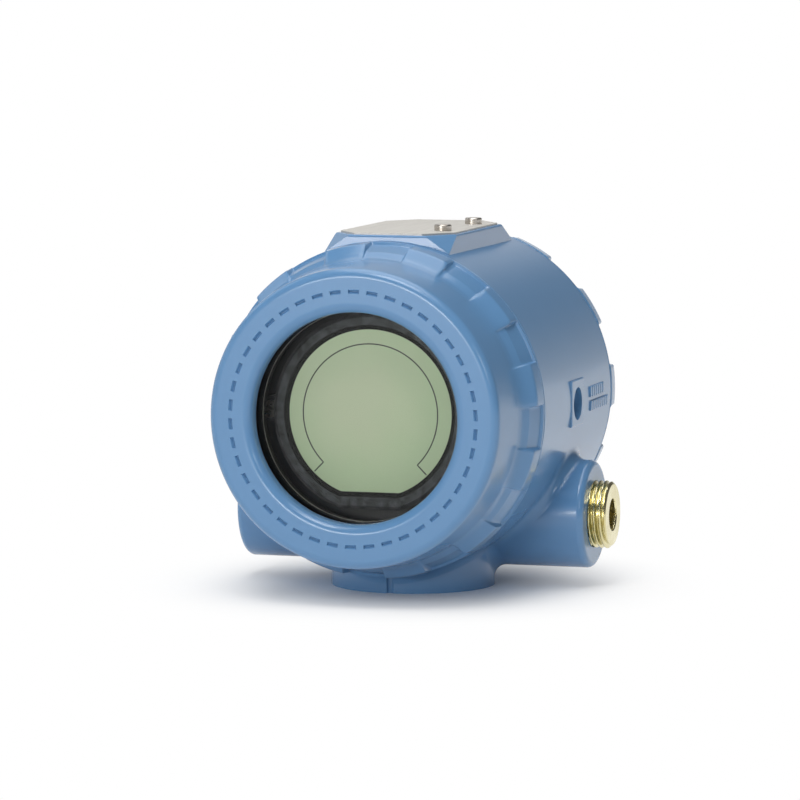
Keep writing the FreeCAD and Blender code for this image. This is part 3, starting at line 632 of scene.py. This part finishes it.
plugLook = {
    "centre": (9.9, 22.8), "innerX": 43.8, "outerX": 62.6, "faceX": 56.8, "faceRadius": 10.25,
    "taper": 1 / 32, "crest": 0.3, "threadPitch": 1.814, "threadDepth": 1.25, "threadMargin": 0.2,
    "toothSteepness": 1.15, "crestFlat": 0.1, "chamfer": 1.1, "hexFlats": 9.5, "hexDepth": 8.0,
    "hexLead": 0.5, "socketMargin": 3.0, "drillSlope": 3.0, "columns": 192, "threadSteps": 130,
}


def conduitPlug():
    # turned profile about the entry's axis with a taper helical thread; the socket's outline is a hexagon
    look = plugLook
    innerR = look["faceRadius"] + look["crest"] - (look["faceX"] - look["innerX"]) * look["taper"]
    outerR = look["faceRadius"] + look["crest"] + (look["outerX"] - look["faceX"]) * look["taper"]
    half = look["hexFlats"] / 2
    floorX = look["outerX"] - look["hexDepth"]
    corners = [
        profileCorner(0.0, look["innerX"], steps=4),
        profileCorner(innerR - look["chamfer"], look["innerX"], cut=0.2, steps=3),
        profileCorner(innerR, look["innerX"] + look["chamfer"], steps=look["threadSteps"]),
        profileCorner(outerR, look["outerX"] - look["chamfer"], cut=0.25, steps=4),
        profileCorner(outerR - look["chamfer"], look["outerX"], cut=0.25, steps=4),
        profileCorner(half + look["hexLead"], look["outerX"], cut=0.1, steps=2),
        profileCorner(half, look["outerX"] - look["hexLead"], cut=0.1, steps=6),
        profileCorner(half, floorX, cut=0.2, steps=4),
        profileCorner(0.0, floorX - half / look["drillSlope"]),
    ]
    profile = roundedProfile(corners)
    radius = profile[:, 0][:, None]
    x = profile[:, 1][:, None]
    angle = np.linspace(0, fullTurn, look["columns"], endpoint=False)[None, :]
    sixth = fullTurn / 6
    hexagon = 1 / np.cos((angle % sixth) - sixth / 2)
    reached = (radius < half + look["hexLead"] / 2) & (x >= look["faceX"] + look["socketMargin"])
    inSocket = np.cumsum(reached, axis=0) > 0
    lineR = look["faceRadius"] + look["crest"] + (x - look["faceX"]) * look["taper"]
    onThread = radius > lineR - look["threadDepth"] - look["threadMargin"]
    tooth = np.abs(2 * ((x / look["threadPitch"] - angle / fullTurn) % 1.0) - 1)
    groove = smoothStep(look["toothSteepness"] * (1 - tooth) - look["crestFlat"])
    threaded = lineR - look["threadDepth"] * groove
    r = np.where(onThread, np.minimum(radius, threaded), radius)
    r = np.where(inSocket, r * hexagon, r)
    y = look["centre"][0] + r * np.cos(angle)
    z = look["centre"][1] + r * np.sin(angle)
    grid = np.stack([x + 0 * angle, y, z], axis=-1)[None]
    piece = pieceFromGrids("conduit_plug_threaded", grid, "plug", yellowZinc)
    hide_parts("conduit_plug")


# Printed arc on the display

arcLook = {
    "radius": 21.5, "tickOuter": 25.6, "startAngle": -45.6, "endAngle": 225.6,
    "halfWidth": 0.19, "thickness": 0.06, "faceY": -47.1, "steps": 240, "tickSteps": 12,
}


def displayArc():
    # a thin flat ribbon carried along a radial tick, the arc and the second tick
    look = arcLook
    angle = np.radians(np.linspace(look["startAngle"], look["endAngle"], look["steps"]))
    tick = np.linspace(look["tickOuter"], look["radius"], look["tickSteps"])[:-1]
    pathR = np.concatenate([tick, np.full(angle.size, look["radius"]), tick[::-1]])
    pathA = np.concatenate([np.full(tick.size, angle[0]), angle, np.full(tick.size, angle[-1])])
    path = np.stack([pathR * np.cos(pathA), pathR * np.sin(pathA)], axis=-1)
    tangent = np.gradient(path, axis=0)
    tangent /= np.linalg.norm(tangent, axis=1)[:, None]
    side = np.stack([-tangent[:, 1], tangent[:, 0]], axis=-1) * look["halfWidth"]
    left = path + side
    right = path - side
    back = look["faceY"]
    front = back - look["thickness"]

    def lay(points, y):
        return np.stack([points[:, 0], np.full(len(points), y), points[:, 1] + barrelAxisHeight], axis=-1)

    edges = [lay(left, back), lay(left, front), lay(right, front), lay(right, back)]
    rows = np.stack(edges, axis=1)
    closing = rows[[0, -1]].mean(axis=1, keepdims=True).repeat(len(edges), axis=1)
    grid = np.concatenate([closing[:1], rows, closing[1:]])
    pieceFromGrids("display_arc", grid[None], "housing", arcInk)


frontCover()
rearCover()
retainerEdge()
castBars()
conduitPlug()
displayArc()


# Camera, light and floor

cameraLook = {
    "azimuth": 16.472, "elevation": 5.638, "distance": 1.48794, "aim": (0.01319, -0.05951, 0.06418),
    "lens": 220.78, "sensor": 36.0,
}


def makeCamera():
    # azimuth runs from the front (-Y) towards +X; the camera stands at distance from the point it aims at
    look = cameraLook
    a = math.radians(look["azimuth"])
    e = math.radians(look["elevation"])
    back = Vector((math.sin(a) * math.cos(e), -math.cos(a) * math.cos(e), math.sin(e)))
    right = Vector((math.cos(a), math.sin(a), 0))
    up = back.cross(right)
    place = Vector(look["aim"]) + back * look["distance"]
    data = bpy.data.cameras.new("photoCamera")
    data.lens = look["lens"]
    data.sensor_width = look["sensor"]
    camera = bpy.data.objects.new("photoCamera", data)
    turn = Matrix((right, up, back)).transposed().to_4x4()
    camera.matrix_world = Matrix.Translation(place) @ turn
    bpy.context.scene.collection.objects.link(camera)
    bpy.context.scene.camera = camera


softboxes = {
    "key": {"place": (0.05, -0.60, 0.96), "size": 0.40, "power": 3.6},
    "top": {"place": (0.04, -0.10, 1.05), "size": 0.85, "power": 5.8},
    "topBack": {"place": (-0.12, 0.50, 1.00), "size": 0.7, "power": 2.2},
    "left": {"place": (-0.80, 0.20, 0.70), "size": 0.5, "power": 0.8},
    "front": {"place": (-0.15, -1.30, 0.22), "size": 0.6, "power": 1.6},
    "right": {"place": (0.78, -0.76, 0.43), "size": 0.25, "power": 0.8},
    "strip": {"place": (-0.27, -1.27, 0.20), "size": 0.40, "height": 0.12, "power": 2.4},
}


def makeSoftboxes():
    # area lamps that all look at the barrel's middle
    aim = Vector((0, 0, barrelAxisHeight * mm))
    for name, look in softboxes.items():
        data = bpy.data.lights.new(name, "AREA")
        data.shape = "RECTANGLE"
        data.size = look["size"]
        data.size_y = look.get("height", look["size"])
        data.energy = look["power"]
        lamp = bpy.data.objects.new(name, data)
        place = Vector(look["place"])
        turn = (aim - place).to_track_quat("-Z", "Y").to_matrix().to_4x4()
        lamp.matrix_world = Matrix.Translation(place) @ turn
        bpy.context.scene.collection.objects.link(lamp)


def makeWorld():
    # studio room: pale along the horizon, dark overhead (the fade runs along z + lean x), and a broad soft
    # glow on the wall behind, to the left
    look = {
        "horizon": 0.72, "overhead": 0.10, "lean": 0.2, "fadeStart": 0.03, "fadeEnd": 0.235,
        "glowWay": (-0.352, 0.886, 0.302), "glowFrom": 0.895, "glowTo": 0.985, "glow": 0.36,
        "colour": (1, 1, 1, 1),
    }
    world = bpy.data.worlds.new("studio")
    world.use_nodes = True
    tree = world.node_tree
    place = addNode(tree, "ShaderNodeTexCoord").outputs["Generated"]

    def along(way):
        dot = addNode(tree, "ShaderNodeVectorMath", operation="DOT_PRODUCT")
        dot.inputs[1].default_value = way
        tree.links.new(place, dot.inputs[0])
        return dot.outputs["Value"]

    height = along((look["lean"], 0, 1))
    room = spread(tree, height, look["horizon"], look["overhead"], look["fadeStart"], look["fadeEnd"])
    towards = along(look["glowWay"])
    glow = spread(tree, towards, 0.0, look["glow"], look["glowFrom"], look["glowTo"], "SMOOTHSTEP")
    background = tree.nodes["Background"]
    background.inputs["Color"].default_value = look["colour"]
    tree.links.new(combine(tree, "ADD", room, glow), background.inputs["Strength"])
    bpy.context.scene.world = world


def makeFloor():
    # pale floor with the object's shadow near it, plain white further out where it is seen or mirrored
    look = {
        "radius": 14.0, "firstRing": 0.05, "rings": 24, "columns": 96, "fadeFrom": 0.02, "fadeTo": 0.10,
        "colour": (0.95, 0.95, 0.95, 1), "roughness": 0.9, "mirror": 0.1,
        "far": (1, 1, 1, 1), "farStrength": 1.0,
    }
    ring = np.geomspace(look["firstRing"], look["radius"], look["rings"])[:, None]
    angle = np.linspace(0, fullTurn, look["columns"], endpoint=False)[None, :]
    grid = np.stack([ring * np.cos(angle), ring * np.sin(angle), 0 * ring * angle], axis=-1)
    grid = np.concatenate([np.zeros((1, look["columns"], 3)), grid])
    faces = gridFaces(look["rings"] + 1, look["columns"], False, True)
    mesh = bpy.data.meshes.new("floor")
    mesh.from_pydata(grid.reshape(-1, 3).tolist(), [], faces.tolist())
    weldAndTurnOut(mesh)
    material, tree, shader = startMaterial("paleFloor")
    shader.inputs["Base Color"].default_value = look["colour"]
    shader.inputs["Roughness"].default_value = look["roughness"]
    shader.inputs["Specular IOR Level"].default_value = look["mirror"]
    white = addNode(tree, "ShaderNodeEmission", {"Color": look["far"], "Strength": look["farStrength"]})
    path = addNode(tree, "ShaderNodeLightPath").outputs
    place = addNode(tree, "ShaderNodeTexCoord")
    length = addNode(tree, "ShaderNodeVectorMath", operation="LENGTH")
    tree.links.new(place.outputs["Object"], length.inputs[0])
    far = spread(tree, length.outputs["Value"], 0.0, 1.0, look["fadeFrom"], look["fadeTo"], "SMOOTHSTEP")
    seen = combine(tree, "MAXIMUM", path["Is Camera Ray"], path["Is Glossy Ray"])
    seen = combine(tree, "MAXIMUM", seen, path["Is Transmission Ray"])
    share = combine(tree, "MULTIPLY", far, seen)
    mix = addNode(tree, "ShaderNodeMixShader")
    tree.links.new(share, mix.inputs["Fac"])
    tree.links.new(shader.outputs["BSDF"], mix.inputs[1])
    tree.links.new(white.outputs["Emission"], mix.inputs[2])
    tree.links.new(mix.outputs["Shader"], tree.nodes["Material Output"].inputs["Surface"])
    mesh.materials.append(material)
    floor = bpy.data.objects.new("floor", mesh)
    bpy.context.scene.collection.objects.link(floor)


makeCamera()
makeSoftboxes()
makeWorld()
makeFloor()
bpy.context.scene.view_settings.view_transform = "Standard"
print("camera, light and floor made")
